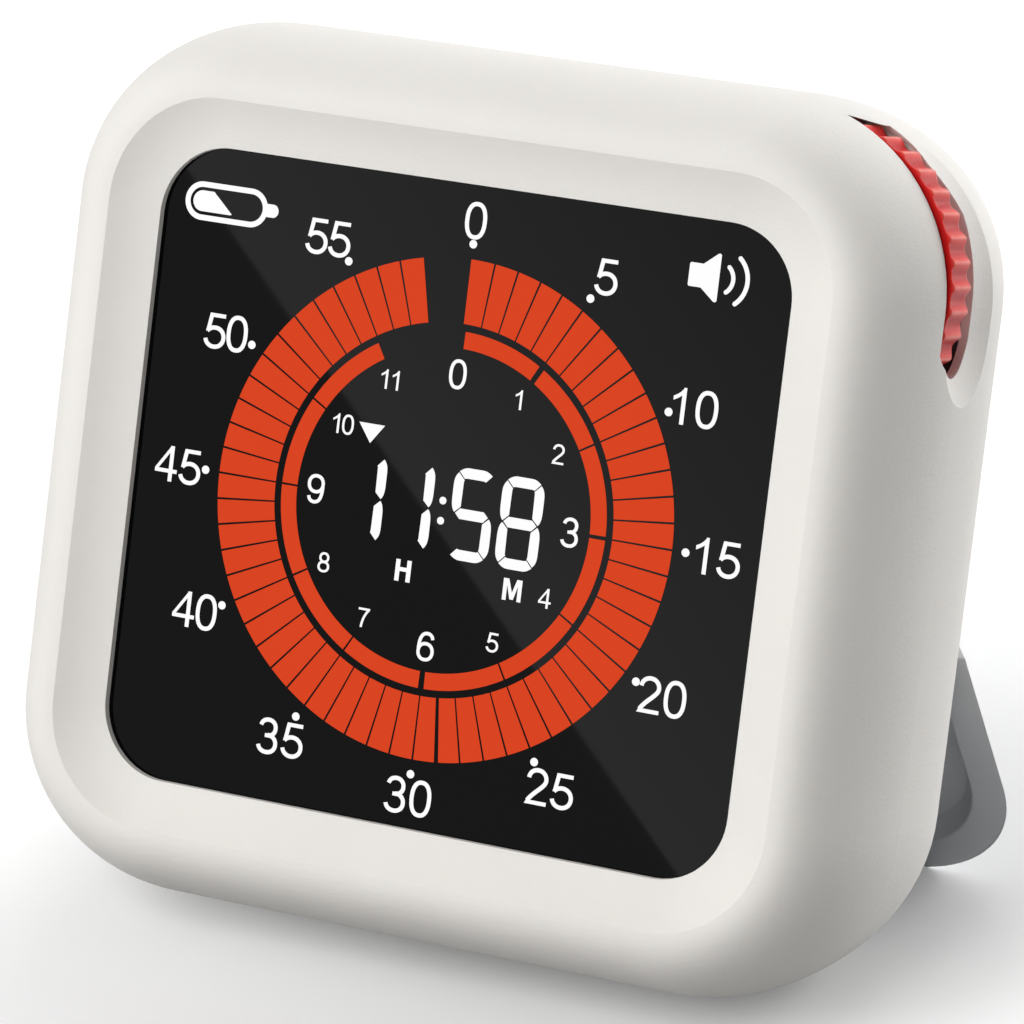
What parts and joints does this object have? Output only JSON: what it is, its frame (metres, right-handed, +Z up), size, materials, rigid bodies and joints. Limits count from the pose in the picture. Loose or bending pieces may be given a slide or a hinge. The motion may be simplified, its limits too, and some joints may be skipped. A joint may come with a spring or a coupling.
{
  "type": "visual countdown timer",
  "caption": "Square digital visual countdown timer with a ring dial screen, soft silicone sleeve, thumbwheel in the upper right corner and a folding kickstand on the back.",
  "frame": {"origin": "middle of the overall box on the surface the timer stands on", "axes": "+X to the right as seen from the front, +Y from the screen to the back, +Z up; the device leans back on its open kickstand at rest"},
  "size_m": [0.0982, 0.06, 0.0929],
  "materials": {
    "silicone_sleeve": "soft matte",
    "front_housing": "matte",
    "rear_housing": "fine matte",
    "front_lens": "polished black",
    "lens_adhesive": "matte",
    "lcd_polarizer": "satin",
    "lcd_front_glass": "clear",
    "lcd_rear_glass": "clear",
    "diffuser_film": "satin",
    "light_guide": "clear",
    "reflector_film": "satin",
    "zebra_strip": "matte",
    "lcd_frame": "matte",
    "backlight_leds": "satin",
    "main_pcb": "satin",
    "microcontroller": "matte",
    "crystal_can": "satin",
    "charger_chip": "matte",
    "filter_capacitors": "satin",
    "battery_connector": "matte",
    "speaker_connector": "matte",
    "usb_c_port": "satin",
    "encoder_body": "matte",
    "encoder_shaft": "satin",
    "thumbwheel": "satin, slightly translucent",
    "wheel_hub": "matte",
    "wheel_screw": "satin",
    "battery_cell": "foil",
    "battery_pad": "foam",
    "battery_leads": "satin",
    "speaker": "satin",
    "speaker_gasket": "foam",
    "speaker_leads": "satin",
    "button_board": "satin",
    "button_flex": "satin",
    "mode_switch": "matte",
    "volume_switch": "matte",
    "mode_plunger": "matte",
    "volume_plunger": "matte",
    "mode_button": "fine matte",
    "volume_button": "fine matte",
    "case_screws": "satin",
    "pcb_screws": "satin",
    "board_screws": "satin",
    "kickstand": "fine matte",
    "hinge_pins": "satin"
  },
  "bodies": {
    "device": {"silicone_sleeve": "silicone_sleeve", "front_housing": "front_housing", "rear_housing": "rear_housing", "front_lens": "front_lens", "lens_adhesive": "lens_adhesive", "lcd_polarizer": "lcd_polarizer", "lcd_front_glass": "lcd_front_glass", "lcd_rear_glass": "lcd_rear_glass", "diffuser_film": "diffuser_film", "light_guide": "light_guide", "reflector_film": "reflector_film", "zebra_strip": "zebra_strip", "lcd_frame": "lcd_frame", "backlight_leds": "backlight_leds", "main_pcb": "main_pcb", "microcontroller": "microcontroller", "crystal_can": "crystal_can", "charger_chip": "charger_chip", "filter_capacitors": "filter_capacitors", "battery_connector": "battery_connector", "speaker_connector": "speaker_connector", "usb_c_port": "usb_c_port", "encoder_body": "encoder_body", "battery_cell": "battery_cell", "battery_pad": "battery_pad", "battery_leads": "battery_leads", "speaker": "speaker", "speaker_gasket": "speaker_gasket", "speaker_leads": "speaker_leads", "button_board": "button_board", "button_flex": "button_flex", "mode_switch": "mode_switch", "volume_switch": "volume_switch", "case_screws": "case_screws", "pcb_screws": "pcb_screws", "board_screws": "board_screws"},
    "wheel": {"thumbwheel": "thumbwheel", "wheel_hub": "wheel_hub", "encoder_shaft": "encoder_shaft", "wheel_screw": "wheel_screw"},
    "stand": {"kickstand": "kickstand", "hinge_pins": "hinge_pins"},
    "mode_key": {"mode_button": "mode_button", "mode_plunger": "mode_plunger"},
    "volume_key": {"volume_button": "volume_button", "volume_plunger": "volume_plunger"}
  },
  "joints": [
    {"name": "thumbwheel_turn", "type": "hinge", "parent": "device", "child": "wheel", "pos_m": [0.03222, 0.00148, 0.07454], "axis": [0, 0.9634, -0.2682], "continuous": true},
    {"name": "kickstand_fold", "type": "hinge", "parent": "device", "child": "stand", "pos_m": [-0.00008, 0.01375, 0.03157], "axis": [-1, 0, 0], "range_deg": [0, 42.6]},
    {"name": "mode_press", "type": "slide", "parent": "device", "child": "mode_key", "axis": [0, -0.9634, 0.2682], "range_m": [0, 0.0005], "stiffness_N_per_m": 600},
    {"name": "volume_press", "type": "slide", "parent": "device", "child": "volume_key", "axis": [0, -0.9634, 0.2682], "range_m": [0, 0.0005], "stiffness_N_per_m": 600}
  ]
}
